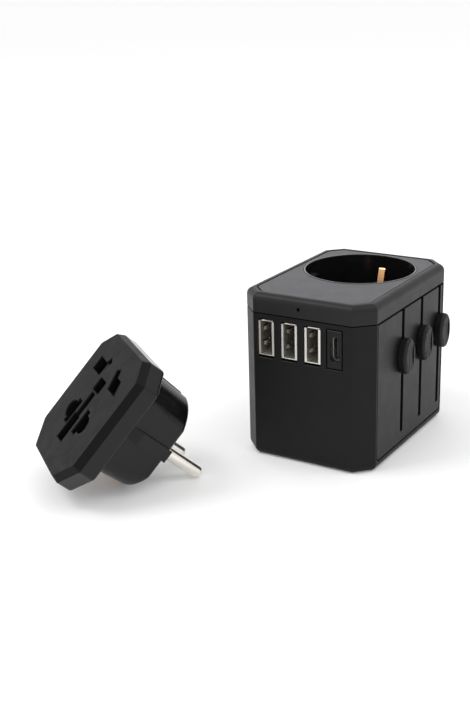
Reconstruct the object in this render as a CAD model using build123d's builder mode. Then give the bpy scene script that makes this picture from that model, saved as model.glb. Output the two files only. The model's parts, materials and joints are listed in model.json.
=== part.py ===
"""Universal travel adapter in two pieces: a cube and a loose grounded plug module.

The cube holds a recessed grounded socket in its top, four charging ports in its front (-Y) face and
three sliders in its right (+X) side.  Each slider pushes its own set of plug pins out of the bottom.
The plug module lies on the table in front of the cube's left side, resting on the rim of its plug
body and on the tips of its two round pins.

Frame: millimetres, +Z up, origin in the middle of the cube's bottom face.
"""

from build123d import *
import math
import os

os.makedirs("parts", exist_ok=True)

# ---------------------------------------------------------------- driving dimensions: cube
WIDTH = 53.0
DEPTH = 73.5
HEIGHT = 63.5
CORNER = 6.5
SOFT = 0.8
WALL = 2.0
HOUSING_TOP = 56.0
CAP_BOTTOM = 56.4
BASE_EDGE = 2.7
CAP_EDGE = 2.7
BASE_THICK = 2.6
BASE_INSET = 3.6
FIT_GAP = 0.12

# recessed socket
SOCKET_Y = 10.2
RECESS_RADIUS = 20.9
RECESS_FLOOR = 46.0
WELL_RADIUS = 22.2
WELL_FLOOR = 2.4
PIN_PITCH = 19.0
PIN_RADIUS = 2.4
PIN_LENGTH = 19.0
PIN_NECK = 0.4
PIN_NECK_RADIUS = 2.0
PIN_HOLE_RADIUS = 2.7
RING_RADIUS = 21.7
DECK_BOTTOM = 60.6
PLATE_BED = 61.7
PLATE_TOP = 63.35
PLATE_W = 45.6
PLATE_D = 66.2
PLATE_CORNER = 4.8
PLATE_SOFT = 2.4
PLATE_GROOVE = 0.45
CLIP_WIDTH = 2.6
SHUTTER_TURN = 22.0

# sliders
SLIDER_Y = (-8.0, 9.0, 26.0)
SLIDER_Z = 38.0
TRAVEL = 24.5
CARRIER_BOTTOM = 32.5
CARRIER_TOP = 38.5
STEM_THICK = 1.8
SLOT_WIDTH = 2.3
SLOT_BOTTOM = 7.7
KNOB_WIDTH = 9.2
KNOB_HEIGHT = 13.8
KNOB_RISE = 3.1
KNOB_GAP = 0.25
KNOB_EDGE = 1.2
DISH_RADIUS = 40.0
DISH_DEPTH = 0.35
PANEL_HALF = 29.6
PANEL_GAP = 0.4
PANEL_ROUND = 2.2
PANEL_BOTTOM = 3.3
PANEL_LEDGE = 1.1

# plug pins carried by the sliders
UK_PITCH = 22.2
UK_BLADE = (6.35, 3.97)
UK_EARTH = (3.97, 7.92)
UK_LENGTH = 17.7
UK_EARTH_LENGTH = 22.7
EU_Y = 0.6
EU_LENGTH = 19.0
US_PITCH = 12.7
US_BLADE = (1.5, 6.35)
US_LENGTH = 17.3
US_STUB_RADIUS = 2.7
US_TWIST = 30.0

# charging ports
PORT_Z = 46.7
USB_A_X = (-14.9, -5.4, 4.1)
USB_A_SHELL = (5.4, 13.0)
USB_A_POCKET = (6.8, 14.7)
USB_C_X = 13.0
USB_C_BEZEL = (5.8, 14.25)
BEZEL_GAP = 0.35
USB_C_SLOT = (3.3, 9.2)
USB_C_INSET = 2.2
SHEET = 0.35
PORT_MOUTH = 0.5
BOARD_FRONT = -21.0
BOARD_THICK = 1.2
LED_X = -1.3
LED_Z = 59.6

# ---------------------------------------------------------------- driving dimensions: plug module
FLANGE_W = 48.4
FLANGE_D = 52.7
FLANGE_TOP_CORNER = 7.4
FLANGE_LOW_CORNER = 9.6
FLANGE_SOFT = 2.0
FACE_BEVEL = 1.25
FACE_THICK = 3.0
FLANGE_BACK = 9.4
PLUG_END = 29.4
PLUG_OFFSET = 2.8
PLUG_EDGE = 1.6
FLAT_RUNOUT = 8.0
RIB_START = 2.4
RIB_RAMP = 4.6
RIB_REACH = 18.5
RIB_WIDTH = 4.8
CLIP_GROOVE = 6.4
PLUG_BASE_RADIUS = 21.0
PLUG_FLAT = 16.7
PLUG_TAPER = 4.2
MODULE_SCREW_W = 34.8
MODULE_SCREW_D = 37.2
MODULE_X = -58.4
MODULE_Y = -87.9
MODULE_YAW = -37.7

FRONT = Plane.XZ.offset(DEPTH / 2)
RIGHT = Plane.YZ.offset(WIDTH / 2)


def octagon(width, depth, corner, soft=0.0):
    """Rectangle with its four corners cut at 45 degrees, and softened if asked, in the current sketch."""
    Rectangle(width, depth)
    chamfer(vertices(), corner)
    if soft:
        fillet(vertices(), soft)


def inner_corner(corner, wall):
    """Corner cut that keeps the same wall all the way round."""
    return corner - wall * (2 - math.sqrt(2))


def panel_outline(gap):
    """Outline of the slider panel, or of its bed with no gap, with its two lower corners rounded."""
    with Locations((0, (PANEL_BOTTOM + HOUSING_TOP) / 2)):
        Rectangle(2 * (PANEL_HALF - gap), HOUSING_TOP - PANEL_BOTTOM - 2 * gap)
    fillet(vertices().group_by(Axis.Y)[0], PANEL_ROUND - gap)


def flange_outline(inset, soft):
    """Outline of the module's flange, brought in all round; its lower corners are cut deeper."""
    Rectangle(FLANGE_W - 2 * inset, FLANGE_D - 2 * inset)
    chamfer(vertices().group_by(Axis.Y)[0], inner_corner(FLANGE_LOW_CORNER, inset))
    chamfer(vertices().group_by(Axis.Y)[-1], inner_corner(FLANGE_TOP_CORNER, inset))
    if soft:
        fillet(vertices(), soft)


def save(piece, label):
    """Give a finished piece its label and write its own file."""
    piece.part.label = label
    export_step(piece.part, f"parts/{label}.step")


# ================================================================ cube: casing
INSIDE_W = WIDTH - 2 * WALL
INSIDE_D = DEPTH - 2 * WALL
INSIDE_CORNER = inner_corner(CORNER, WALL)
BASE_W = WIDTH - 2 * BASE_INSET
BASE_D = DEPTH - 2 * BASE_INSET
BASE_CORNER = inner_corner(CORNER, BASE_INSET)
BOSS_X = 19.2
BOSS_Y = 29.2
BOSS_TOP = 7.8
SCREW_RADIUS = 1.1

with BuildPart() as main_housing:
    with BuildSketch():
        octagon(WIDTH, DEPTH, CORNER, SOFT)
    extrude(amount=HOUSING_TOP)
    fillet(faces().sort_by(Axis.Z)[0].edges(), BASE_EDGE)
    with BuildSketch(Plane.XY.offset(BASE_THICK)):
        octagon(INSIDE_W, INSIDE_D, INSIDE_CORNER)
    extrude(amount=HOUSING_TOP, mode=Mode.SUBTRACT)
    with BuildSketch():
        octagon(BASE_W, BASE_D, BASE_CORNER)
    extrude(amount=BASE_THICK, mode=Mode.SUBTRACT)
    # corner posts that take the screws of the base plate
    with BuildSketch(Plane.XY.offset(BASE_THICK)):
        for side_x in (-1, 1):
            for side_y in (-1, 1):
                with Locations((side_x * BOSS_X, side_y * BOSS_Y)):
                    Circle(3.0)
                with Locations((side_x * (BOSS_X + 1.9), side_y * (BOSS_Y + 1.9))):
                    Rectangle(4.2, 2.0, rotation=side_x * side_y * 45)
    extrude(amount=BOSS_TOP - BASE_THICK)
    with BuildSketch(Plane.XY.offset(BASE_THICK)):
        with GridLocations(2 * BOSS_X, 2 * BOSS_Y, 2, 2):
            Circle(SCREW_RADIUS + 0.05)
    extrude(amount=BOSS_TOP - BASE_THICK - 1.0, mode=Mode.SUBTRACT)
    # bed and window of the slider panel
    with BuildSketch(RIGHT):
        panel_outline(0.0)
    extrude(amount=-PANEL_LEDGE, mode=Mode.SUBTRACT)
    with BuildSketch(RIGHT):
        with Locations((0, (PANEL_BOTTOM + 3 + HOUSING_TOP) / 2)):
            Rectangle(2 * (PANEL_HALF - 2.3), HOUSING_TOP - PANEL_BOTTOM - 3)
    extrude(amount=-WALL, mode=Mode.SUBTRACT)
    # openings of the charging ports
    with BuildSketch(FRONT):
        for port_x in USB_A_X:
            with Locations((port_x, PORT_Z)):
                RectangleRounded(*USB_A_POCKET, 0.8)
        with Locations((USB_C_X, PORT_Z)):
            Rectangle(USB_C_BEZEL[0] + 2 * BEZEL_GAP, USB_C_BEZEL[1] + 2 * BEZEL_GAP)
    extrude(amount=-WALL, mode=Mode.SUBTRACT)
    chamfer(faces().sort_by(Axis.Y)[0].inner_wires().edges(), 0.2)
save(main_housing, "main_housing")

with BuildPart() as base_plate:
    with BuildSketch():
        octagon(BASE_W - 2 * FIT_GAP, BASE_D - 2 * FIT_GAP, BASE_CORNER)
    extrude(amount=BASE_THICK)
    with BuildSketch():
        with Locations((-UK_PITCH / 2, SLIDER_Y[0]), (UK_PITCH / 2, SLIDER_Y[0])):
            Rectangle(UK_BLADE[0] + 0.6, UK_BLADE[1] + 0.6)
        with Locations((0, SLIDER_Y[0] + UK_PITCH)):
            Rectangle(UK_EARTH[0] + 0.6, UK_EARTH[1] + 0.6)
        with Locations((-PIN_PITCH / 2, EU_Y), (PIN_PITCH / 2, EU_Y)):
            Circle(PIN_RADIUS + 0.3)
        # each twisting blade passes a slot that is as wide as its whole turn
        for side in (-1, 1):
            with Locations((side * US_PITCH / 2, SLIDER_Y[2])):
                for step in range(7):
                    turn = side * US_TWIST * step / 6
                    Rectangle(US_BLADE[0] + 0.7, US_BLADE[1] + 0.7, rotation=turn)
    extrude(amount=BASE_THICK, mode=Mode.SUBTRACT)
    with GridLocations(2 * BOSS_X, 2 * BOSS_Y, 2, 2):
        with Locations(Plane(origin=(0, 0, 0), z_dir=(0, 0, -1))):
            CounterSinkHole(radius=SCREW_RADIUS + 0.15, counter_sink_radius=2.3)
save(base_plate, "base_plate")

with BuildPart() as base_screws:
    with Locations(*[(x, y, 0) for x in (-BOSS_X, BOSS_X) for y in (-BOSS_Y, BOSS_Y)]):
        with Locations((0, 0, 0.2)):
            Cone(2.05, SCREW_RADIUS, 1.0, align=(Align.CENTER, Align.CENTER, Align.MIN))
            Cylinder(SCREW_RADIUS, BOSS_TOP - 3.2, align=(Align.CENTER, Align.CENTER, Align.MIN))
    with BuildSketch(Plane.XY.offset(0.2)):
        with GridLocations(2 * BOSS_X, 2 * BOSS_Y, 2, 2):
            Rectangle(2.2, 0.55)
            Rectangle(0.55, 2.2)
    extrude(amount=0.6, mode=Mode.SUBTRACT)
save(base_screws, "base_screws")

with BuildPart() as slider_panel:
    with BuildSketch(RIGHT):
        panel_outline(PANEL_GAP)
    extrude(amount=-PANEL_LEDGE)
    fillet(faces().sort_by(Axis.X)[-1].edges(), 0.3)
    with BuildSketch(RIGHT.offset(-PANEL_LEDGE)):
        with Locations((0, (PANEL_BOTTOM + 3 + HOUSING_TOP) / 2)):
            Rectangle(2 * (PANEL_HALF - 3.2), HOUSING_TOP - PANEL_BOTTOM - 3.8)
    extrude(amount=-(WALL - PANEL_LEDGE))
    with BuildSketch(RIGHT):
        for slot_y in SLIDER_Y:
            with Locations((slot_y, (SLOT_BOTTOM + HOUSING_TOP) / 2 + 0.5)):
                Rectangle(SLOT_WIDTH, HOUSING_TOP - SLOT_BOTTOM + 1)
    extrude(amount=-WALL, mode=Mode.SUBTRACT)
save(slider_panel, "slider_panel")

with BuildPart() as top_cap:
    with BuildSketch(Plane.XY.offset(CAP_BOTTOM)):
        octagon(WIDTH, DEPTH, CORNER, SOFT)
    extrude(amount=HEIGHT - CAP_BOTTOM)
    fillet(faces().sort_by(Axis.Z)[-1].edges(), CAP_EDGE)
    # locating lip that drops into the housing
    with BuildSketch(Plane.XY.offset(CAP_BOTTOM - 2.4)):
        octagon(INSIDE_W - 2 * FIT_GAP, INSIDE_D - 2 * FIT_GAP, INSIDE_CORNER)
    extrude(amount=2.4)
    with BuildSketch(Plane.XY.offset(CAP_BOTTOM - 2.4)):
        octagon(INSIDE_W - 2.2, INSIDE_D - 2.2, inner_corner(INSIDE_CORNER, 1.1))
    extrude(amount=DECK_BOTTOM - CAP_BOTTOM + 2.4, mode=Mode.SUBTRACT)
    with BuildSketch(Plane.XY.offset(HEIGHT)):
        octagon(PLATE_W + 2 * PLATE_GROOVE, PLATE_D + 2 * PLATE_GROOVE, PLATE_CORNER, PLATE_SOFT + PLATE_GROOVE)
    extrude(amount=PLATE_BED - HEIGHT, mode=Mode.SUBTRACT)
    with BuildSketch(Plane.XY.offset(DECK_BOTTOM)):
        with Locations((0, SOCKET_Y)):
            Circle(WELL_RADIUS + FIT_GAP)
    extrude(amount=HEIGHT - DECK_BOTTOM, mode=Mode.SUBTRACT)
    with BuildSketch(FRONT):
        with Locations((LED_X, LED_Z)):
            Circle(0.65)
    extrude(amount=-3.6, mode=Mode.SUBTRACT)
save(top_cap, "top_cap")

with BuildPart() as top_plate:
    with BuildSketch(Plane.XY.offset(PLATE_BED)):
        octagon(PLATE_W, PLATE_D, PLATE_CORNER, PLATE_SOFT)
        with Locations((0, SOCKET_Y)):
            Circle(RING_RADIUS + 0.1, mode=Mode.SUBTRACT)
    extrude(amount=PLATE_TOP - PLATE_BED)
save(top_plate, "top_plate")

# ================================================================ cube: recessed socket
with BuildPart() as recess_ring:
    with BuildSketch(Plane.XY.offset(PLATE_BED)):
        with Locations((0, SOCKET_Y)):
            Circle(RING_RADIUS)
            Circle(RECESS_RADIUS, mode=Mode.SUBTRACT)
    extrude(amount=HEIGHT - PLATE_BED)
    fillet(faces().sort_by(Axis.Z)[-1].edges(), 0.25)
save(recess_ring, "recess_ring")

with BuildPart() as socket_well:
    with BuildSketch(Plane.XY.offset(RECESS_FLOOR)):
        with Locations((0, SOCKET_Y)):
            Circle(WELL_RADIUS)
    extrude(amount=PLATE_BED - RECESS_FLOOR)
    with BuildSketch(Plane.XY.offset(DECK_BOTTOM - 1.2)):
        with Locations((0, SOCKET_Y)):
            Circle(23.2)
    extrude(amount=1.2)
    with BuildSketch(Plane.XY.offset(PLATE_BED)):
        with Locations((0, SOCKET_Y)):
            Circle(RECESS_RADIUS)
    extrude(amount=RECESS_FLOOR - PLATE_BED, taper=2.0, mode=Mode.SUBTRACT)
    # guide ribs in line with the pins
    with BuildSketch(Plane.XY.offset(RECESS_FLOOR)):
        for side in (-1, 1):
            with Locations((side * 20.2, SOCKET_Y)):
                Rectangle(2.8, 4.4)
    extrude(amount=12.5)
    # windows of the two earth clips
    with BuildSketch(Plane.XY.offset(RECESS_FLOOR + 1.4)):
        for side in (-1, 1):
            with Locations((0, SOCKET_Y + side * 21.5)):
                Rectangle(CLIP_WIDTH + 0.8, 4.5)
    extrude(amount=DECK_BOTTOM - 1.4 - RECESS_FLOOR - 1.4, mode=Mode.SUBTRACT)
save(socket_well, "socket_well")

with BuildPart() as socket_floor:
    with BuildSketch(Plane.XY.offset(RECESS_FLOOR - WELL_FLOOR)):
        with Locations((0, SOCKET_Y)):
            Circle(WELL_RADIUS)
        with Locations((-PIN_PITCH / 2, SOCKET_Y), (PIN_PITCH / 2, SOCKET_Y)):
            Circle(PIN_HOLE_RADIUS, mode=Mode.SUBTRACT)
    extrude(amount=WELL_FLOOR)
save(socket_floor, "socket_floor")

STRAP_Z = 39.45
STRAP_REACH = 22.85
CLIP_TOP = 58.4
with BuildPart() as earth_contact:
    # one bent strap: up outside each wall, folded in through the window, sprung towards the plug
    with BuildSketch(Plane.YZ):
        with BuildLine():
            half = [(0, STRAP_Z), (STRAP_REACH, STRAP_Z), (STRAP_REACH, CLIP_TOP), (20.5, CLIP_TOP),
                    (18.4, 51.6), (19.2, 49.2)]
            right = [(SOCKET_Y + r, z) for r, z in half]
            left = [(SOCKET_Y - r, z) for r, z in reversed(half[1:])]
            Polyline(*left, *right)
            fillet(vertices().group_by(Axis.Y)[-1], 1.0)
        trace(line_width=0.7)
    extrude(amount=CLIP_WIDTH / 2, both=True)
save(earth_contact, "earth_contact")

BLOCK_BOTTOM = 39.9
BLOCK_TOP = 41.6
SLEEVE_RADIUS = 4.4
BUSBAR_X = 20.0
BUSBAR_TOP = 43.4
LINK_Y = SOCKET_Y + 2.3
with BuildPart() as contact_block:
    with BuildSketch(Plane.XY.offset(BLOCK_BOTTOM)):
        with Locations((0, SOCKET_Y)):
            Circle(15.5)
    extrude(amount=RECESS_FLOOR - WELL_FLOOR - BLOCK_BOTTOM)
    with BuildSketch(Plane.XY.offset(BLOCK_TOP)):
        with Locations((0, SOCKET_Y)):
            Circle(13.2)
            Circle(1.5, mode=Mode.SUBTRACT)
    extrude(amount=RECESS_FLOOR, mode=Mode.SUBTRACT)
    with BuildSketch(Plane.XY.offset(26.0)):
        with Locations((-PIN_PITCH / 2, SOCKET_Y), (PIN_PITCH / 2, SOCKET_Y)):
            Circle(SLEEVE_RADIUS)
    extrude(amount=BLOCK_BOTTOM - 26.0)
    with BuildSketch(Plane.XY.offset(27.0)):
        with Locations((-PIN_PITCH / 2, SOCKET_Y), (PIN_PITCH / 2, SOCKET_Y)):
            Circle(3.3)
    extrude(amount=RECESS_FLOOR, mode=Mode.SUBTRACT)
    with BuildSketch(Plane.XY.offset(STRAP_Z - 0.5)):
        for side in (-1, 1):
            with Locations((side * 13.0, LINK_Y)):
                Rectangle(6.4, 3.0)
    extrude(amount=BLOCK_BOTTOM - STRAP_Z + 0.5, mode=Mode.SUBTRACT)
save(contact_block, "contact_block")

for side, label in ((1, "live_contact"), (-1, "neutral_contact")):
    with BuildPart() as tulip_contact:
        with BuildSketch(Plane.XY.offset(27.2)):
            with Locations((side * PIN_PITCH / 2, SOCKET_Y)):
                Circle(3.15)
        extrude(amount=BLOCK_TOP - 0.3 - 27.2)
        with BuildSketch(Plane.XY.offset(STRAP_Z - 0.3)):
            with Locations((side * (10.5 + BUSBAR_X) / 2, LINK_Y)):
                Rectangle(BUSBAR_X - 10.5, 2.2)
        extrude(amount=0.6)
        with BuildSketch(Plane.XY.offset(27.2)):
            with Locations((side * PIN_PITCH / 2, SOCKET_Y)):
                Circle(2.5)
                Rectangle(0.6, 8.0)
        extrude(amount=9.0, mode=Mode.SUBTRACT)
        with BuildSketch(Plane.XY.offset(27.2)):
            with Locations((side * PIN_PITCH / 2, SOCKET_Y)):
                Circle(2.5)
        extrude(amount=BLOCK_TOP - 27.2, mode=Mode.SUBTRACT)
    save(tulip_contact, label)

with BuildPart() as socket_shutter:
    with BuildSketch(Plane.XY.offset(BLOCK_TOP + 0.2)):
        with Locations((0, SOCKET_Y)):
            Circle(12.9)
            Circle(1.56, mode=Mode.SUBTRACT)
            with PolarLocations(PIN_PITCH / 2, 2, start_angle=-SHUTTER_TURN):
                Circle(2.8, mode=Mode.SUBTRACT)
    extrude(amount=1.4)
save(socket_shutter, "socket_shutter")

for side, label in ((1, "live_busbar"), (-1, "neutral_busbar")):
    with BuildPart() as busbar:
        with BuildSketch(Plane.YZ.offset(side * (BUSBAR_X + 0.35))):
            with Locations((9.0, (BASE_THICK + BUSBAR_TOP) / 2)):
                Rectangle(44.0, BUSBAR_TOP - BASE_THICK)
            # windows that the stems of the sliders run in, and room for the corner post
            for slot_y in SLIDER_Y:
                with Locations((slot_y, (9.2 + BUSBAR_TOP - 1.1) / 2)):
                    Rectangle(4.0, BUSBAR_TOP - 1.1 - 9.2, mode=Mode.SUBTRACT)
            with Locations((29.0, 7.0)):
                Rectangle(7.0, 10.0, mode=Mode.SUBTRACT)
        extrude(amount=0.35, both=True)
    save(busbar, label)

# ================================================================ cube: sliders
KNOB_BACK = WIDTH / 2 + KNOB_GAP
for slot_y, label in zip(SLIDER_Y, ("knob_front", "knob_middle", "knob_rear")):
    with BuildPart() as knob:
        with BuildSketch(Plane.YZ.offset(KNOB_BACK)):
            with Locations((slot_y, SLIDER_Z)):
                Ellipse(KNOB_WIDTH / 2, KNOB_HEIGHT / 2)
        extrude(amount=KNOB_RISE)
        fillet(faces().sort_by(Axis.X)[-1].edges(), KNOB_EDGE)
        # shallow thumb hollow with fine ridges left between its grooves
        dish_x = KNOB_BACK + KNOB_RISE + DISH_RADIUS - DISH_DEPTH
        with BuildSketch(Plane.XZ.offset(-slot_y)):
            with Locations((dish_x, SLIDER_Z)):
                Circle(DISH_RADIUS)
        extrude(amount=2.9, both=True, mode=Mode.SUBTRACT)
        for groove in (-2.1, -0.7, 0.7, 2.1):
            with BuildSketch(Plane.XZ.offset(-slot_y - groove)):
                with Locations((dish_x, SLIDER_Z)):
                    Circle(DISH_RADIUS + 0.25)
            extrude(amount=0.2, both=True, mode=Mode.SUBTRACT)
    save(knob, label)


def stem_outline(slot_y, start_x):
    """Web that runs from a carrier through its slot to the back of its knob."""
    with Locations(((start_x + KNOB_BACK) / 2, slot_y)):
        Rectangle(KNOB_BACK - start_x, STEM_THICK)


STEM_LEVEL = Plane.XY.offset(SLIDER_Z - 4)
STEM_HEIGHT = 8.0


CARRIER_HEIGHT = CARRIER_TOP - CARRIER_BOTTOM
with BuildPart() as uk_carrier:
    with BuildSketch(Plane.XY.offset(CARRIER_BOTTOM)):
        with Locations((0, SLIDER_Y[0])):
            Rectangle(31.0, 7.6)
        with Locations((0, 5.2)):
            Rectangle(6.4, 26.6)
    extrude(amount=CARRIER_HEIGHT)
    with BuildSketch(STEM_LEVEL):
        stem_outline(SLIDER_Y[0], 15.0)
    extrude(amount=STEM_HEIGHT)
    with BuildSketch(Plane.XY.offset(CARRIER_BOTTOM)):
        with Locations((-UK_PITCH / 2, SLIDER_Y[0]), (UK_PITCH / 2, SLIDER_Y[0])):
            Rectangle(*UK_BLADE)
        with Locations((0, SLIDER_Y[0] + UK_PITCH)):
            Rectangle(*UK_EARTH)
    extrude(amount=CARRIER_HEIGHT, mode=Mode.SUBTRACT)
save(uk_carrier, "uk_carrier")

with BuildPart() as uk_pins:
    with BuildSketch(Plane.XY.offset(TRAVEL - UK_LENGTH)):
        with Locations((-UK_PITCH / 2, SLIDER_Y[0]), (UK_PITCH / 2, SLIDER_Y[0])):
            Rectangle(*UK_BLADE)
    extrude(amount=CARRIER_TOP - TRAVEL + UK_LENGTH)
    chamfer(faces().group_by(Axis.Z)[0].edges(), 0.8)
save(uk_pins, "uk_pins")

with BuildPart() as uk_earth_pin:
    with BuildSketch(Plane.XY.offset(TRAVEL - UK_EARTH_LENGTH)):
        with Locations((0, SLIDER_Y[0] + UK_PITCH)):
            Rectangle(*UK_EARTH)
    extrude(amount=CARRIER_TOP - TRAVEL + UK_EARTH_LENGTH)
    chamfer(faces().sort_by(Axis.Z)[0].edges(), 0.8)
save(uk_earth_pin, "uk_earth_pin")

with BuildPart() as eu_carrier:
    # horseshoe that passes round the contact sleeves and the spine of the front carrier
    with BuildSketch(Plane.XY.offset(CARRIER_BOTTOM)):
        with Locations((0, 9.2)):
            Rectangle(34.0, 24.8)
        with Locations((0, 11.65)):
            Rectangle(28.6, 14.5, mode=Mode.SUBTRACT)
        with Locations((0, 0.6)):
            Rectangle(9.2, 7.7, mode=Mode.SUBTRACT)
    extrude(amount=CARRIER_HEIGHT)
    with BuildSketch(STEM_LEVEL):
        stem_outline(SLIDER_Y[1], 16.5)
    extrude(amount=STEM_HEIGHT)
    with BuildSketch(Plane.XY.offset(CARRIER_BOTTOM)):
        with Locations((-PIN_PITCH / 2, EU_Y), (PIN_PITCH / 2, EU_Y)):
            Circle(PIN_RADIUS)
    extrude(amount=CARRIER_HEIGHT, mode=Mode.SUBTRACT)
save(eu_carrier, "eu_carrier")

with BuildPart() as eu_pins:
    with BuildSketch(Plane.XY.offset(TRAVEL - EU_LENGTH)):
        with Locations((-PIN_PITCH / 2, EU_Y), (PIN_PITCH / 2, EU_Y)):
            Circle(PIN_RADIUS)
    extrude(amount=CARRIER_TOP - TRAVEL + EU_LENGTH)
    fillet(faces().group_by(Axis.Z)[0].edges(), 1.6)
save(eu_pins, "eu_pins")

with BuildPart() as us_carrier:
    with BuildSketch(Plane.XY.offset(CARRIER_BOTTOM)):
        with Locations((0, SLIDER_Y[2])):
            Rectangle(24.0, 7.8)
    extrude(amount=CARRIER_HEIGHT)
    with BuildSketch(STEM_LEVEL):
        stem_outline(SLIDER_Y[2], 11.5)
    extrude(amount=STEM_HEIGHT)
    with BuildSketch(Plane.XY.offset(CARRIER_BOTTOM)):
        with Locations((-US_PITCH / 2, SLIDER_Y[2]), (US_PITCH / 2, SLIDER_Y[2])):
            Circle(US_STUB_RADIUS + 0.05)
    extrude(amount=CARRIER_HEIGHT, mode=Mode.SUBTRACT)
save(us_carrier, "us_carrier")

for side, label in ((-1, "us_blade_left"), (1, "us_blade_right")):
    with BuildPart() as us_blade:
        with BuildSketch(Plane.XY.offset(TRAVEL - US_LENGTH)):
            with Locations((side * US_PITCH / 2, SLIDER_Y[2])):
                Rectangle(*US_BLADE)
        extrude(amount=CARRIER_BOTTOM - 0.2 - TRAVEL + US_LENGTH)
        chamfer(faces().sort_by(Axis.Z)[0].edges(), 0.4)
        with BuildSketch(Plane.XY.offset(CARRIER_BOTTOM - 0.2)):
            with Locations((side * US_PITCH / 2, SLIDER_Y[2])):
                Circle(US_STUB_RADIUS)
        extrude(amount=CARRIER_HEIGHT)
    save(us_blade, label)

# sprung wipers on top of the carriers; each reaches out to the busbar on its side
WIPER_TIP = BUSBAR_X - 0.3
wiper_pads = {
    "uk_wipers": ((8.0, 14.2, -11.4, -6.2), (8.0, WIPER_TIP, -11.4, -10.3)),
    "eu_wipers": ((7.5, WIPER_TIP, -0.4, 1.6),),
    "us_wipers": ((4.0, 9.0, 24.4, 29.6), (4.0, WIPER_TIP, 28.4, 29.6)),
}
for label, pads in wiper_pads.items():
    with BuildPart() as wipers:
        with BuildSketch(Plane.XY.offset(CARRIER_TOP)):
            for side in (-1, 1):
                for near, far, low, high in pads:
                    with Locations((side * (near + far) / 2, (low + high) / 2)):
                        Rectangle(far - near, high - low)
        extrude(amount=0.35)
    save(wipers, label)

# ================================================================ cube: fuse and partition
PARTITION_Y = -18.4
FUSE_Y = -15.1
FUSE_Z = 30.0
with BuildPart() as partition:
    with BuildSketch(Plane.XZ.offset(-PARTITION_Y)):
        with Locations((-0.6, (BASE_THICK + 43.0) / 2)):
            Rectangle(47.4, 43.0 - BASE_THICK)
    extrude(amount=1.0)
save(partition, "partition")

with BuildPart() as fuse:
    with BuildSketch(Plane.YZ.offset(-10.0)):
        with Locations((FUSE_Y, FUSE_Z)):
            Circle(2.5)
    extrude(amount=20.0)
save(fuse, "fuse")

with BuildPart() as fuse_clips:
    for start in (-9.0, 5.0):
        with BuildSketch(Plane.YZ.offset(start)):
            with Locations((FUSE_Y, FUSE_Z)):
                Circle(2.9)
                Circle(2.52, mode=Mode.SUBTRACT)
                Rectangle(3.0, 6.0, mode=Mode.SUBTRACT, align=(Align.MIN, Align.CENTER))
            with Locations(((PARTITION_Y + FUSE_Y - 2.6) / 2, FUSE_Z)):
                Rectangle(FUSE_Y - 2.6 - PARTITION_Y, 2.4)
        extrude(amount=4.0)
save(fuse_clips, "fuse_clips")

# ================================================================ cube: charger
MOUTH_Y = -DEPTH / 2 + PORT_MOUTH
MOUTH = Plane.XZ.offset(-MOUTH_Y)
SHELL_DEPTH = BOARD_FRONT - MOUTH_Y
TONGUE_SHIFT = 1.1
TONGUE_INSET = 3.4
for port_x, place in zip(USB_A_X, ("left", "middle", "right")):
    with BuildPart() as usb_shell:
        with BuildSketch(MOUTH):
            with Locations((port_x, PORT_Z)):
                RectangleRounded(*USB_A_SHELL, 0.4)
        extrude(amount=-SHELL_DEPTH)
        with BuildSketch(MOUTH):
            with Locations((port_x, PORT_Z)):
                Rectangle(USB_A_SHELL[0] - 2 * SHEET, USB_A_SHELL[1] - 2 * SHEET)
        extrude(amount=-SHELL_DEPTH + SHEET, mode=Mode.SUBTRACT)
        # two spring windows in each long wall, and a sprung finger in each left one
        with BuildSketch(Plane.YZ.offset(port_x)):
            for shift in (-2.9, 2.9):
                with Locations((MOUTH_Y + 4.2, PORT_Z + shift)):
                    Rectangle(4.2, 2.4)
        extrude(amount=USB_A_SHELL[0], both=True, mode=Mode.SUBTRACT)
        wall_x = port_x - USB_A_SHELL[0] / 2
        for shift in (-2.9, 2.9):
            with BuildSketch(Plane.XY.offset(PORT_Z + shift)):
                with BuildLine():
                    Polyline(
                        (wall_x, MOUTH_Y + 6.4),
                        (wall_x + SHEET, MOUTH_Y + 6.4),
                        (wall_x + SHEET + 0.55, MOUTH_Y + 3.6),
                        (wall_x + SHEET, MOUTH_Y + 2.5),
                        (wall_x, MOUTH_Y + 2.5),
                        (wall_x + 0.55, MOUTH_Y + 3.6),
                        close=True,
                    )
                make_face()
            extrude(amount=0.7, both=True)
        # flared lips along both long walls; the upper short wall stands back between them
        with BuildSketch(MOUTH):
            for side in (-1, 1):
                with Locations((port_x + side * (USB_A_SHELL[0] / 2 + 0.1), PORT_Z)):
                    Rectangle(0.75, USB_A_SHELL[1])
        extrude(amount=-0.5)
        with BuildSketch(MOUTH):
            with Locations((port_x, PORT_Z + USB_A_SHELL[1] / 2)):
                Rectangle(USB_A_SHELL[0] - 2 * SHEET, 1.2)
        extrude(amount=-1.4, mode=Mode.SUBTRACT)
    save(usb_shell, f"usb_a_shell_{place}")

    with BuildPart() as usb_tongue:
        with BuildSketch(MOUTH.offset(-TONGUE_INSET)):
            with Locations((port_x + TONGUE_SHIFT, PORT_Z)):
                Rectangle(1.84, 11.0)
        extrude(amount=-(SHELL_DEPTH - TONGUE_INSET - SHEET))
        with BuildSketch(MOUTH.offset(-9.6)):
            with Locations((port_x, PORT_Z)):
                Rectangle(4.5, 12.0)
        extrude(amount=-(SHELL_DEPTH - 9.6 - SHEET))
    save(usb_tongue, f"usb_a_tongue_{place}")

with BuildPart() as usb_a_contacts:
    with BuildSketch(MOUTH.offset(-TONGUE_INSET - 0.6)):
        for port_x in USB_A_X:
            for shift in (-3.5, -1.0, 1.0, 3.5):
                with Locations((port_x + TONGUE_SHIFT - 0.92 - 0.09, PORT_Z + shift)):
                    Rectangle(0.18, 1.0)
    extrude(amount=-5.4)
save(usb_a_contacts, "usb_a_contacts")

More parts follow.
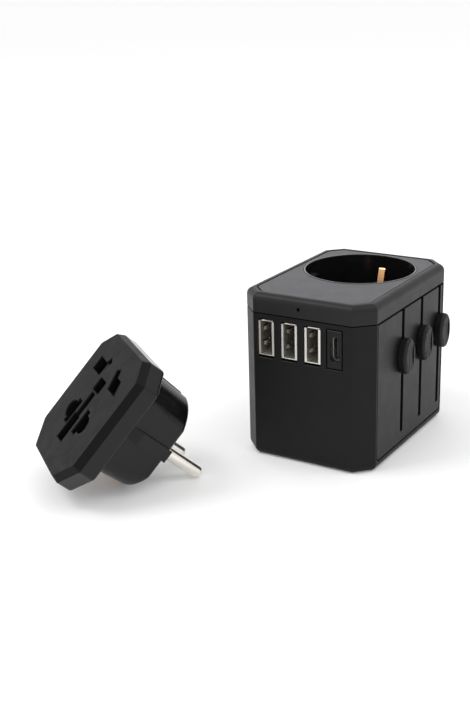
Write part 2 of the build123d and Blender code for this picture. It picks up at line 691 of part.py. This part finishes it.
with BuildPart() as usb_c_bezel:
    with BuildSketch(FRONT):
        with Locations((USB_C_X, PORT_Z)):
            Rectangle(*USB_C_BEZEL)
            SlotOverall(USB_C_SLOT[1], USB_C_SLOT[0], rotation=90, mode=Mode.SUBTRACT)
    extrude(amount=-3.2)
    chamfer(faces().sort_by(Axis.Y)[0].edges(), 0.25)
save(usb_c_bezel, "usb_c_bezel")

with BuildPart() as usb_c_shell:
    with BuildSketch(FRONT.offset(-USB_C_INSET)):
        with Locations((USB_C_X, PORT_Z)):
            SlotOverall(9.0, 3.1, rotation=90)
    extrude(amount=-(BOARD_FRONT + DEPTH / 2 - USB_C_INSET))
    with BuildSketch(FRONT.offset(-USB_C_INSET)):
        with Locations((USB_C_X, PORT_Z)):
            SlotOverall(8.4, 2.5, rotation=90)
    extrude(amount=-(BOARD_FRONT + DEPTH / 2 - USB_C_INSET - 0.3), mode=Mode.SUBTRACT)
save(usb_c_shell, "usb_c_shell")

with BuildPart() as usb_c_tongue:
    with BuildSketch(FRONT.offset(-USB_C_INSET - 0.7)):
        with Locations((USB_C_X, PORT_Z)):
            Rectangle(0.7, 6.7)
    extrude(amount=-(BOARD_FRONT + DEPTH / 2 - USB_C_INSET - 1.0))
save(usb_c_tongue, "usb_c_tongue")

with BuildPart() as charger_board:
    with BuildSketch(Plane.XZ.offset(-BOARD_FRONT)):
        with Locations((-1.0, 29.0)):
            Rectangle(44.0, 48.0)
        with Locations((LED_X, 56.2)):
            Rectangle(7.0, 8.4)
    extrude(amount=-BOARD_THICK)
save(charger_board, "charger_board")

with BuildPart() as transformer:
    with BuildSketch(Plane.XZ.offset(-BOARD_FRONT)):
        with Locations((-13.0, 21.5)):
            Rectangle(15.0, 15.0)
    extrude(amount=11.0)
    with BuildSketch(Plane.XZ.offset(-BOARD_FRONT)):
        with Locations((-13.0, 21.5)):
            Rectangle(9.0, 19.0)
    extrude(amount=8.0)
save(transformer, "transformer")

with BuildPart() as capacitors:
    for spot, radius, tall in (((1.5, 15.0), 4.5, 12.0), ((11.5, 12.5), 3.15, 11.0), ((11.5, 21.0), 3.15, 11.0)):
        with BuildSketch(Plane.XZ.offset(-BOARD_FRONT)):
            with Locations(spot):
                Circle(radius)
        extrude(amount=tall)
save(capacitors, "capacitors")

with BuildPart() as charger_chips:
    with BuildSketch(Plane.XZ.offset(-BOARD_FRONT)):
        with Locations((0.0, 28.0)):
            Rectangle(6.0, 5.0)
        with Locations((11.0, 31.0)):
            Rectangle(5.0, 4.0)
        with Locations((-13.0, 35.5)):
            Rectangle(4.0, 3.6)
    extrude(amount=1.6)
save(charger_chips, "charger_chips")

with BuildPart() as led_pipe:
    with BuildSketch(FRONT.offset(-1.4)):
        with Locations((LED_X, LED_Z)):
            Circle(0.5)
    extrude(amount=-11.15)
save(led_pipe, "led_pipe")

with BuildPart() as led:
    with BuildSketch(Plane.XZ.offset(-BOARD_FRONT)):
        with Locations((LED_X, LED_Z - 0.2)):
            Rectangle(2.0, 1.2)
    extrude(amount=3.0)
save(led, "led")

# ================================================================ plug module: its place on the table
# The face normal rises by REST_ANGLE, found from the two contacts: the rounded rim of the plug body,
# on each side of its clip groove, and the rounded tips of the pins stand on the same plane.
TIP_EDGE = PIN_RADIUS - 0.4
PLUG_DEPTH = PLUG_END - FLANGE_BACK
PLUG_SLOPE = math.radians(PLUG_TAPER)
RIM_RADIUS = PLUG_BASE_RADIUS - (PLUG_DEPTH - PLUG_EDGE) * math.tan(PLUG_SLOPE) - PLUG_EDGE / math.cos(PLUG_SLOPE)
REST_RISE = math.sqrt(RIM_RADIUS**2 - (CLIP_GROOVE / 2) ** 2) - 0.4
REST_RUN = PIN_LENGTH - TIP_EDGE + PLUG_EDGE
REST_LEAN = math.atan2(REST_RISE, REST_RUN)
REST_ANGLE = REST_LEAN - math.asin((TIP_EDGE - PLUG_EDGE) / math.hypot(REST_RISE, REST_RUN))
TIP_DEPTH = PLUG_END + PIN_LENGTH - TIP_EDGE
face_height = TIP_DEPTH * math.sin(REST_ANGLE) - (PLUG_OFFSET - 0.4) * math.cos(REST_ANGLE) + TIP_EDGE
yaw = math.radians(MODULE_YAW)
across = (math.cos(yaw), math.sin(yaw), 0.0)
outward = (math.cos(REST_ANGLE) * math.sin(yaw), -math.cos(REST_ANGLE) * math.cos(yaw), math.sin(REST_ANGLE))
FACE = Plane(origin=(MODULE_X, MODULE_Y, face_height), x_dir=across, z_dir=outward)
FACE_AXIS = Axis(FACE.origin, FACE.z_dir)

with BuildPart() as module_face:
    with BuildSketch(FACE):
        flange_outline(FACE_BEVEL, FLANGE_SOFT)
    with BuildSketch(FACE.offset(-FACE_THICK)):
        flange_outline(0.0, FLANGE_SOFT)
    loft()
    with BuildSketch(FACE):
        # rectangular pin holes, each run together with a slanted blade slot
        with BuildLine():
            Polyline((-15, 9.9), (-7, 9.9), (-4.2, 16.5), (-6.5, 17.6), (-7.7, 15.2), (-15, 15.2), close=True)
        make_face()
        with BuildLine():
            Polyline((15, 9.4), (12.6, 14.6), (8, 14.6), (6.5, 17.6), (3.9, 16.3), (6.9, 9.4), close=True)
        make_face()
        # round-sided holes, each with a straight slot along its inner side
        for side in (-1, 1):
            with Locations((side * 5.9, -5.6)):
                Rectangle(3.0, 9.6)
            with Locations((side * 8.2, -5.6)):
                Ellipse(3.8, 3.4)
        # earth holes: a stepped slot and a block above it
        with Locations((-0.6, -10.6)):
            Rectangle(5.6, 10.8)
        with Locations((-0.4, -0.4)):
            Rectangle(3.4, 9.6)
        with Locations((-0.4, 7.7)):
            RectangleRounded(6.4, 5.2, 0.8)
    extrude(amount=-FACE_THICK, mode=Mode.SUBTRACT)
    hole_edges = faces().sort_by(FACE_AXIS)[-1].inner_wires().edges()
    chamfer(hole_edges, 0.3)
save(module_face, "module_face")

with BuildPart() as module_flange:
    with BuildSketch(FACE.offset(-FLANGE_BACK)):
        flange_outline(0.0, FLANGE_SOFT)
    extrude(amount=FLANGE_BACK - FACE_THICK)
    fillet(faces().sort_by(FACE_AXIS)[0].edges(), 1.2)
    with BuildSketch(FACE.offset(-FLANGE_BACK + WALL)):
        flange_outline(WALL, 0.0)
    extrude(amount=FLANGE_BACK, mode=Mode.SUBTRACT)
    with BuildSketch(FACE.offset(-FLANGE_BACK)):
        with Locations((0, PLUG_OFFSET)):
            Circle(15.0)
    extrude(amount=WALL, mode=Mode.SUBTRACT)
    with BuildSketch(FACE.offset(-FLANGE_BACK)):
        with GridLocations(MODULE_SCREW_W, MODULE_SCREW_D, 2, 2):
            Circle(1.3)
    extrude(amount=WALL, mode=Mode.SUBTRACT)
    with BuildSketch(FACE.offset(-FLANGE_BACK)):
        with GridLocations(MODULE_SCREW_W, MODULE_SCREW_D, 2, 2):
            Circle(2.3)
    extrude(amount=1.0, mode=Mode.SUBTRACT)
save(module_flange, "module_flange")

BACK = Plane(origin=FACE.origin, x_dir=FACE.x_dir, z_dir=-FACE.z_dir)


SIDE = Plane(origin=FACE.origin, x_dir=FACE.y_dir, z_dir=FACE.x_dir)
RIB_PLANE = Plane(
    origin=FACE.origin + FACE.y_dir * PLUG_OFFSET, x_dir=FACE.x_dir, z_dir=FACE.y_dir * -1
)

with BuildPart() as module_plug:
    with BuildSketch(BACK.offset(FLANGE_BACK)):
        with Locations((0, -PLUG_OFFSET)):
            Circle(PLUG_BASE_RADIUS)
    extrude(amount=PLUG_DEPTH, taper=PLUG_TAPER)
    # a flat on each side that runs out in an arc next to the flange
    for side in (-1, 1):
        with BuildSketch(SIDE.offset(side * PLUG_FLAT)):
            with Locations((PLUG_OFFSET, -PLUG_END)):
                Rectangle(44.0, 2 * (PLUG_DEPTH - FLAT_RUNOUT))
            with Locations((PLUG_OFFSET, -FLANGE_BACK - FLAT_RUNOUT)):
                Ellipse(14.5, FLAT_RUNOUT)
        extrude(amount=side * 8.0, mode=Mode.SUBTRACT)
    fillet(faces().sort_by(FACE_AXIS)[0].edges(), PLUG_EDGE)
    # guide rib on each flat, ramped up where it starts
    with BuildSketch(RIB_PLANE):
        with BuildLine():
            rib = [(PLUG_FLAT - 0.1, -FLANGE_BACK - RIB_START), (RIB_REACH, -FLANGE_BACK - RIB_START - RIB_RAMP),
                   (RIB_REACH - 0.3, -PLUG_END)]
            Polyline(*rib, *[(-x, y) for x, y in reversed(rib)], close=True)
        make_face()
    extrude(amount=RIB_WIDTH / 2, both=True)
    # grooves of the two earth clips
    with BuildSketch(BACK.offset(PLUG_END)):
        for side in (-1, 1):
            with Locations((0, -PLUG_OFFSET + side * 20.0)):
                Rectangle(CLIP_GROOVE, 6.0)
    extrude(amount=-13.5, mode=Mode.SUBTRACT)
    with BuildSketch(BACK.offset(FLANGE_BACK)):
        with Locations((0, -PLUG_OFFSET)):
            Circle(16.0)
            Rectangle(27.6, 32.0, mode=Mode.INTERSECT)
    extrude(amount=PLUG_DEPTH - 2.5, mode=Mode.SUBTRACT)
    with BuildSketch(BACK.offset(FLANGE_BACK)):
        with Locations((-PIN_PITCH / 2, -PLUG_OFFSET), (PIN_PITCH / 2, -PLUG_OFFSET)):
            Circle(PIN_NECK_RADIUS)
    extrude(amount=PLUG_DEPTH, mode=Mode.SUBTRACT)
save(module_plug, "module_plug")

for side, label in ((-1, "module_pin_left"), (1, "module_pin_right")):
    with BuildPart() as module_pin:
        with BuildSketch(BACK.offset(PLUG_END - 6.0)):
            with Locations((side * PIN_PITCH / 2, -PLUG_OFFSET)):
                Circle(PIN_NECK_RADIUS)
        extrude(amount=6.0 + PIN_NECK)
        with BuildSketch(BACK.offset(PLUG_END + PIN_NECK)):
            with Locations((side * PIN_PITCH / 2, -PLUG_OFFSET)):
                Circle(PIN_RADIUS)
        extrude(amount=PIN_LENGTH - PIN_NECK)
        fillet(faces().sort_by(FACE_AXIS)[0].edges(), TIP_EDGE)
    save(module_pin, label)

with BuildPart() as module_earth_clips:
    # a strip in each of the two grooves of the plug
    with BuildSketch(BACK.offset(PLUG_END - 1.2)):
        for side in (-1, 1):
            with Locations((0, -PLUG_OFFSET + side * 17.7)):
                Rectangle(5.2, 0.8)
    extrude(amount=-11.0)
save(module_earth_clips, "module_earth_clips")

with BuildPart() as module_shutter:
    with BuildSketch(FACE.offset(-FACE_THICK - 0.3)):
        with Locations((0, 9.2)):
            Rectangle(28.8, 17.4)
        with Locations((0, 6.0)):
            Rectangle(5.4, 16.0, mode=Mode.SUBTRACT)
        with Locations((-9.6, 6.5), (9.6, 6.5)):
            Rectangle(7.0, 5.4, mode=Mode.SUBTRACT)
    extrude(amount=-1.2)
save(module_shutter, "module_shutter")

for side, label in ((-1, "module_line_contact"), (1, "module_neutral_contact")):
    with BuildPart() as module_contact:
        with BuildSketch(FACE.offset(-7.4)):
            with Locations((side * 9.0, 4.0)):
                Rectangle(8.0, 30.0)
        extrude(amount=0.8)
        with BuildSketch(FACE.offset(-7.4)):
            with Locations((side * PIN_PITCH / 2, PLUG_OFFSET)):
                Rectangle(4.0, 0.8)
        extrude(amount=-(PLUG_END - 6.0 - 7.4))
    save(module_contact, label)

with BuildPart() as module_earth_contact:
    with BuildSketch(FACE.offset(-7.4)):
        with Locations((0, -9.0)):
            Rectangle(6.0, 20.0)
    extrude(amount=0.8)
    with BuildSketch(FACE.offset(-7.4)):
        with Locations((0, PLUG_OFFSET - 14.0)):
            Rectangle(5.0, 0.8)
    extrude(amount=-14.0)
save(module_earth_contact, "module_earth_contact")

with BuildPart() as module_screws:
    with BuildSketch(BACK.offset(FLANGE_BACK - 1.0)):
        with GridLocations(MODULE_SCREW_W, MODULE_SCREW_D, 2, 2):
            Circle(2.1)
    extrude(amount=0.8)
    with BuildSketch(BACK.offset(FACE_THICK)):
        with GridLocations(MODULE_SCREW_W, MODULE_SCREW_D, 2, 2):
            Circle(1.2)
    extrude(amount=FLANGE_BACK - 1.0 - FACE_THICK)
    with BuildSketch(BACK.offset(FLANGE_BACK - 0.2)):
        with GridLocations(MODULE_SCREW_W, MODULE_SCREW_D, 2, 2):
            Rectangle(2.6, 0.6)
            Rectangle(0.6, 2.6)
    extrude(amount=-0.6, mode=Mode.SUBTRACT)
save(module_screws, "module_screws")
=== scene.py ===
"""Looks of the travel adapter cube and its loose plug module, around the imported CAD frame.

Lengths are metres in the CAD frame: the origin is the middle of the cube's flat bottom, +Z is up,
-Y is out of the charging ports and +X is out of the slider side. Noise scales are per metre.
"""

import json
import math

import bpy
from mathutils import Matrix, Vector

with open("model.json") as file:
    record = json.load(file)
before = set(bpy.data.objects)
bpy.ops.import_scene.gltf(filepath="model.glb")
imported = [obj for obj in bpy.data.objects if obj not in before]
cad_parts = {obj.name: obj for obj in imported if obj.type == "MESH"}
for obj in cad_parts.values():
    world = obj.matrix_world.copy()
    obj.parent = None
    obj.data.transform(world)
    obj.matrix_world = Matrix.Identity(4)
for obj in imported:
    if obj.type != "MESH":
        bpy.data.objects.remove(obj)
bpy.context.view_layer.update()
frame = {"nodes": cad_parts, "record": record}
NODES = frame["nodes"]
MOUNTS = {m["name"]: m for m in frame["record"]["mounts"]}

MICRON = 0.000001
WHITE = (1.0, 1.0, 1.0, 1.0)
UP = Vector((0.0, 0.0, 1.0))
INTO_PORTS = Vector((0.0, 1.0, 0.0))
MODULE_PIN_AXIS = Vector(MOUNTS["module_pin_left"]["axis"])


# ------------------------------------------------------------------ material building blocks
NOISE_LOW, NOISE_HIGH = 0.35, 0.65  # most of a noise texture's values lie between these

PLASTIC_TONE_SCALE = 45.0
PLASTIC_DARKEST, PLASTIC_LIGHTEST = 0.90, 1.12  # as shares of the colour
HANDLING_SCALE = 130.0  # patches that hands have made duller or shinier
SINK_SCALE = 38.0  # waviness that a moulding gets as it cools

METAL_TONE_SCALE = 160.0
MARK_DEPTH = 1.2 * MICRON
MARK_SMOOTHER, MARK_ROUGHER = 0.015, 0.025  # how far marks take the roughness down and up
MARK_WANDER = 0.12  # how fast a mark changes on its way round, to 1 along the axis

TRACK_SCALE = 260.0
TRACK_GAP = 0.05
TRACK_HEIGHT = 30.0 * MICRON
TRACK_DARK, TRACK_LIGHT = (0.010, 0.115, 0.045, 1.0), (0.014, 0.150, 0.060, 1.0)
TRACK_EDGE = (0.030, 0.230, 0.095, 1.0)
MASK_GLOSS_SCALE = 300.0
MASK_SMOOTHEST, MASK_ROUGHEST = 0.22, 0.34

GLASS_TONE_SCALE = 220.0
GLASS_DARKEST = 0.92
GLASS_ROUGHNESS_DRIFT = 0.08


def new_material(name):
    """A material with one Principled shader, its node tree, and the shader."""
    material = bpy.data.materials.new(name)
    material.use_nodes = True
    tree = material.node_tree
    tree.nodes.clear()
    out = tree.nodes.new("ShaderNodeOutputMaterial")
    shader = tree.nodes.new("ShaderNodeBsdfPrincipled")
    tree.links.new(shader.outputs["BSDF"], out.inputs["Surface"])
    return material, tree, shader


def object_place(tree):
    return tree.nodes.new("ShaderNodeTexCoord").outputs["Object"]


def noise(tree, vector, scale, detail=3.0, roughness=0.5, distortion=0.0):
    node = tree.nodes.new("ShaderNodeTexNoise")
    node.inputs["Scale"].default_value = scale
    node.inputs["Detail"].default_value = detail
    node.inputs["Roughness"].default_value = roughness
    node.inputs["Distortion"].default_value = distortion
    tree.links.new(vector, node.inputs["Vector"])
    return node.outputs["Fac"]


def remap(tree, value, low, high):
    """Spread the middle of a noise over low to high."""
    node = tree.nodes.new("ShaderNodeMapRange")
    node.inputs["From Min"].default_value = NOISE_LOW
    node.inputs["From Max"].default_value = NOISE_HIGH
    node.inputs["To Min"].default_value = low
    node.inputs["To Max"].default_value = high
    tree.links.new(value, node.inputs["Value"])
    return node.outputs["Result"]


def blend_colors(tree, factor, dark, light):
    node = tree.nodes.new("ShaderNodeMix")
    node.data_type = "RGBA"
    node.inputs["A"].default_value = (*dark, 1.0)
    node.inputs["B"].default_value = (*light, 1.0)
    tree.links.new(factor, node.inputs["Factor"])
    return node.outputs["Result"]


def shade(color, factor):
    return tuple(c * factor for c in color)


def drifting_color(tree, shader, drift, color, darkest, lightest=1.0):
    """Base colour that wanders between two shades of one colour."""
    dark, light = shade(color, darkest), shade(color, lightest)
    tone = blend_colors(tree, remap(tree, drift, 0.0, 1.0), dark, light)
    tree.links.new(tone, shader.inputs["Base Color"])


def bump(tree, height, distance, strength, under=None):
    node = tree.nodes.new("ShaderNodeBump")
    node.inputs["Strength"].default_value = strength
    node.inputs["Distance"].default_value = distance
    tree.links.new(height, node.inputs["Height"])
    if under is not None:
        tree.links.new(under, node.inputs["Normal"])
    return node.outputs["Normal"]


def moulded_plastic(
    name,
    color,
    roughness,
    grain_scale,
    grain_depth,
    roughness_drift=0.06,
    sink_depth=0.0,
    specular=0.5,
):
    """Injection-moulded plastic: eroded grain, a slow drift of tone and gloss, sink waviness."""
    material, tree, shader = new_material(name)
    place = object_place(tree)
    drift = noise(tree, place, PLASTIC_TONE_SCALE, detail=4.0, roughness=0.6, distortion=0.4)
    drifting_color(tree, shader, drift, color, PLASTIC_DARKEST, PLASTIC_LIGHTEST)
    handled = noise(tree, place, HANDLING_SCALE, detail=5.0, roughness=0.62, distortion=0.8)
    gloss = remap(tree, handled, roughness - roughness_drift, roughness + roughness_drift)
    tree.links.new(gloss, shader.inputs["Roughness"])
    shader.inputs["Specular IOR Level"].default_value = specular
    grain = noise(tree, place, grain_scale, detail=2.0, roughness=0.7)
    normal = bump(tree, grain, grain_depth, strength=0.9)
    if sink_depth:
        sink = noise(tree, place, SINK_SCALE, detail=1.0)
        normal = bump(tree, sink, sink_depth, strength=0.6, under=normal)
    tree.links.new(normal, shader.inputs["Normal"])
    return material


def plated_metal(name, color, roughness, axis, mark_scale, tarnish=0.82):
    """Plated or rolled metal: fine marks that run round the axis, and a slight change of tone."""
    material, tree, shader = new_material(name)
    place = object_place(tree)
    drift = noise(tree, place, METAL_TONE_SCALE, detail=4.0, roughness=0.6, distortion=0.5)
    drifting_color(tree, shader, drift, color, tarnish)
    shader.inputs["Metallic"].default_value = 1.0

    along = tree.nodes.new("ShaderNodeVectorMath")
    along.operation = "DOT_PRODUCT"
    along.inputs[1].default_value = axis
    tree.links.new(place, along.inputs[0])
    around = tree.nodes.new("ShaderNodeVectorMath")
    around.operation = "SCALE"
    around.inputs["Scale"].default_value = MARK_WANDER
    tree.links.new(place, around.inputs[0])
    joined = tree.nodes.new("ShaderNodeVectorMath")
    joined.operation = "ADD"
    tree.links.new(along.outputs["Value"], joined.inputs[0])
    tree.links.new(around.outputs["Vector"], joined.inputs[1])
    marks = noise(tree, joined.outputs["Vector"], mark_scale, detail=1.0)

    gloss = remap(tree, marks, roughness - MARK_SMOOTHER, roughness + MARK_ROUGHER)
    tree.links.new(gloss, shader.inputs["Roughness"])
    tree.links.new(bump(tree, marks, MARK_DEPTH, strength=0.5), shader.inputs["Normal"])
    return material


def solder_mask(name):
    """Green board with copper tracks showing darker and lighter under the mask."""
    material, tree, shader = new_material(name)
    place = object_place(tree)
    tracks = tree.nodes.new("ShaderNodeTexBrick")
    tracks.inputs["Scale"].default_value = TRACK_SCALE
    tracks.inputs["Mortar Size"].default_value = TRACK_GAP
    tracks.inputs["Color1"].default_value = TRACK_DARK
    tracks.inputs["Color2"].default_value = TRACK_LIGHT
    tracks.inputs["Mortar"].default_value = TRACK_EDGE
    tree.links.new(place, tracks.inputs["Vector"])
    tree.links.new(tracks.outputs["Color"], shader.inputs["Base Color"])
    patches = noise(tree, place, MASK_GLOSS_SCALE)
    gloss = remap(tree, patches, MASK_SMOOTHEST, MASK_ROUGHEST)
    tree.links.new(gloss, shader.inputs["Roughness"])
    relief = bump(tree, tracks.outputs["Fac"], TRACK_HEIGHT, strength=0.5)
    tree.links.new(relief, shader.inputs["Normal"])
    return material


def clear_glass(name, color, roughness):
    material, tree, shader = new_material(name)
    drift = noise(tree, object_place(tree), GLASS_TONE_SCALE)
    drifting_color(tree, shader, drift, color, GLASS_DARKEST)
    gloss = remap(tree, drift, roughness, roughness + GLASS_ROUGHNESS_DRIFT)
    tree.links.new(gloss, shader.inputs["Roughness"])
    shader.inputs["Transmission Weight"].default_value = 1.0
    return material


# ------------------------------------------------------------------ finishes, by material slot
# The black plastics have dark colours and low specular levels, so that in this white studio they
# come out as dark as in the photograph, whose surroundings were darker.
MATERIALS = {
    "casing_plastic": moulded_plastic(
        "casing_black",
        color=(0.0050, 0.0050, 0.0052),
        roughness=0.46,
        grain_scale=3200.0,
        grain_depth=18.0 * MICRON,
        roughness_drift=0.03,
        specular=0.18,
    ),
    "panel_plastic": moulded_plastic(
        "panel_black",
        color=(0.0055, 0.0055, 0.0057),
        roughness=0.42,
        grain_scale=3200.0,
        grain_depth=12.0 * MICRON,
        roughness_drift=0.03,
        specular=0.22,
    ),
    "knob_plastic": moulded_plastic(
        "knob_black",
        color=(0.0065, 0.0065, 0.0067),
        roughness=0.42,
        grain_scale=3200.0,
        grain_depth=14.0 * MICRON,
        roughness_drift=0.03,
        specular=0.26,
    ),
    "top_plate_plastic": moulded_plastic(
        "top_plate_satin",
        color=(0.0068, 0.0068, 0.0150),
        roughness=0.34,
        grain_scale=3600.0,
        grain_depth=8.0 * MICRON,
        roughness_drift=0.02,
        specular=0.20,
    ),
    "recess_plastic": moulded_plastic(
        "recess_gloss",
        color=(0.0055, 0.0055, 0.0060),
        roughness=0.18,
        grain_scale=1500.0,
        grain_depth=4.0 * MICRON,
        roughness_drift=0.04,
        sink_depth=20.0 * MICRON,
        specular=0.40,
    ),
    "inner_plastic": moulded_plastic(
        "inner_plain",
        color=(0.030, 0.030, 0.031),
        roughness=0.48,
        grain_scale=2000.0,
        grain_depth=20.0 * MICRON,
    ),
    "port_tongue": moulded_plastic(
        "tongue_black",
        color=(0.012, 0.012, 0.012),
        roughness=0.38,
        grain_scale=2600.0,
        grain_depth=10.0 * MICRON,
    ),
    "component_dark": moulded_plastic(
        "component_epoxy",
        color=(0.018, 0.018, 0.020),
        roughness=0.42,
        grain_scale=2400.0,
        grain_depth=20.0 * MICRON,
    ),
    "ferrite": moulded_plastic(
        "ferrite_dark",
        color=(0.050, 0.047, 0.044),
        roughness=0.62,
        grain_scale=1800.0,
        grain_depth=50.0 * MICRON,
    ),
    "module_face_plastic": moulded_plastic(
        "module_face_grain",
        color=(0.0045, 0.0045, 0.0047),
        roughness=0.46,
        grain_scale=1100.0,
        grain_depth=120.0 * MICRON,
        roughness_drift=0.04,
        specular=0.10,
    ),
    "module_gloss_plastic": moulded_plastic(
        "module_gloss",
        color=(0.0030, 0.0030, 0.0032),
        roughness=0.20,
        grain_scale=1400.0,
        grain_depth=3.0 * MICRON,
        roughness_drift=0.04,
        sink_depth=30.0 * MICRON,
        specular=0.32,
    ),
    "screw_steel": plated_metal(
        "screw_zinc", color=(0.58, 0.58, 0.60), roughness=0.34, axis=UP, mark_scale=1400.0
    ),
    "port_steel": plated_metal(
        "port_tin",
        color=(0.90, 0.88, 0.82),
        roughness=0.42,
        axis=INTO_PORTS,
        mark_scale=1200.0,
        tarnish=0.93,
    ),
    "pin_nickel": plated_metal(
        "pin_nickel",
        color=(0.86, 0.83, 0.77),
        roughness=0.24,
        axis=UP,
        mark_scale=2600.0,
        tarnish=0.93,
    ),
    "earth_metal": plated_metal(
        "earth_copper", color=(0.90, 0.50, 0.25), roughness=0.25, axis=UP, mark_scale=1100.0
    ),
    "contact_brass": plated_metal(
        "contact_brass", color=(0.83, 0.62, 0.28), roughness=0.30, axis=UP, mark_scale=1100.0
    ),
    "circuit_board": solder_mask("board_green"),
    "fuse_glass": clear_glass("fuse_glass", color=(0.93, 0.95, 0.95), roughness=0.03),
    "light_pipe": moulded_plastic(
        "light_pipe_smoked",
        color=(0.010, 0.010, 0.011),
        roughness=0.16,
        grain_scale=900.0,
        grain_depth=4.0 * MICRON,
        roughness_drift=0.03,
    ),
}

# Nodes whose finish differs from the rest of their slot: the module's pins are tilted, and the
# cap is a little lighter than the casing below it, as painted light: a lighter copy of the casing
# plastic that stands in for the light its rounded front catches.
MODULE_PIN = plated_metal(
    "pin_nickel_turned",
    color=(0.86, 0.83, 0.77),
    roughness=0.22,
    axis=MODULE_PIN_AXIS,
    mark_scale=2600.0,
    tarnish=0.93,
)
# Painted light: the casing plastic, made lighter and glossier for the light on the cap's rounded
# front.
CAP_PAINTED_LIGHTER = moulded_plastic(
    "cap_black_painted_lighter",
    color=(0.0075, 0.0075, 0.0077),
    roughness=0.46,
    grain_scale=3200.0,
    grain_depth=18.0 * MICRON,
    roughness_drift=0.03,
    specular=0.28,
)
OWN_FINISH_AND_PAINTED_LIGHT = {"module_pin_left": MODULE_PIN, "module_pin_right": MODULE_PIN, "top_cap": CAP_PAINTED_LIGHTER}

for part in frame["record"]["subparts"]:
    obj = NODES[part["node"]]
    material = OWN_FINISH_AND_PAINTED_LIGHT.get(part["node"], MATERIALS[part["material_slot"]])
    obj.data.materials.clear()
    obj.data.materials.append(material)


# ------------------------------------------------------------------ floor
FLOOR_RADIUS = 14.0
FLOOR_SEGMENTS = 96
FLOOR_DARKEST = (0.905, 0.905, 0.905)
FLOOR_LIGHTEST = (0.925, 0.925, 0.925)
FLOOR_TONE_SCALE = 30.0
FLOOR_ROUGHNESS = 0.7
FLOOR_SPECULAR = 0.1
FLOOR_GLOW = 0.10  # a faint emission, so that the floor reads as white


def disc(name, radius, material):
    mesh = bpy.data.meshes.new(name)
    angles = [math.tau * k / FLOOR_SEGMENTS for k in range(FLOOR_SEGMENTS)]
    points = [(radius * math.cos(a), radius * math.sin(a), 0.0) for a in angles]
    mesh.from_pydata(points, [], [list(range(FLOOR_SEGMENTS))])
    mesh.materials.append(material)
    obj = bpy.data.objects.new(name, mesh)
    bpy.context.scene.collection.objects.link(obj)
    return obj


floor_material, floor_tree, floor_shader = new_material("floor_white")
floor_noise = noise(floor_tree, object_place(floor_tree), FLOOR_TONE_SCALE)
floor_tone = blend_colors(floor_tree, floor_noise, FLOOR_DARKEST, FLOOR_LIGHTEST)
floor_tree.links.new(floor_tone, floor_shader.inputs["Base Color"])
floor_shader.inputs["Roughness"].default_value = FLOOR_ROUGHNESS
floor_shader.inputs["Specular IOR Level"].default_value = FLOOR_SPECULAR
floor_shader.inputs["Emission Color"].default_value = WHITE
floor_shader.inputs["Emission Strength"].default_value = FLOOR_GLOW
disc("floor", FLOOR_RADIUS, floor_material)


# ------------------------------------------------------------------ studio light
SKY_STRENGTH = 0.95
SOFTBOXES = (  # name, place, target, size, watts
    ("key", (-0.52, -0.46, 1.00), (0.0, 0.0, 0.05), (0.40, 0.40), 3.4),
    ("fill", (0.60, 0.10, 0.95), (0.0, 0.0, 0.03), (0.45, 0.45), 1.6),
    ("back", (-0.50, 1.05, 0.55), (0.0, 0.0, 0.06), (0.90, 0.40), 0.9),
)

world = bpy.data.worlds.new("studio")
world.use_nodes = True
sky = world.node_tree.nodes["Background"]
sky.inputs["Color"].default_value = WHITE
sky.inputs["Strength"].default_value = SKY_STRENGTH
scene = bpy.context.scene
scene.world = world
scene.view_settings.view_transform = "Standard"


def softbox(name, place, target, size, watts):
    data = bpy.data.lights.new(name, "AREA")
    data.shape = "RECTANGLE"
    data.size, data.size_y = size
    data.energy = watts
    light = bpy.data.objects.new(name, data)
    light.location = place
    aim = Vector(target) - Vector(place)
    light.rotation_euler = aim.to_track_quat("-Z", "Y").to_euler()
    scene.collection.objects.link(light)


for box in SOFTBOXES:
    softbox(*box)


# ------------------------------------------------------------------ camera, solved from the photo
CAMERA_PLACE = (0.18929, -0.37987, 0.18245)
AZIMUTH, ELEVATION, ROLL = math.radians(32.378), math.radians(19.421), math.radians(-1.682)
FOCAL_LENGTH, SENSOR_WIDTH = 59.16, 36.0  # millimetres
FARTHEST_SEEN = 60.0

back = Vector(
    (
        math.sin(AZIMUTH) * math.cos(ELEVATION),
        -math.cos(AZIMUTH) * math.cos(ELEVATION),
        math.sin(ELEVATION),
    )
)
level_right = UP.cross(back).normalized()
level_up = back.cross(level_right)
right = level_right * math.cos(ROLL) + level_up * math.sin(ROLL)
up = level_up * math.cos(ROLL) - level_right * math.sin(ROLL)

camera_data = bpy.data.cameras.new("camera")
camera_data.lens = FOCAL_LENGTH
camera_data.sensor_width = SENSOR_WIDTH
camera_data.clip_end = FARTHEST_SEEN
camera = bpy.data.objects.new("camera", camera_data)
turn = Matrix((right, up, back)).transposed().to_4x4()
camera.matrix_world = Matrix.Translation(CAMERA_PLACE) @ turn
scene.collection.objects.link(camera)
scene.camera = camera
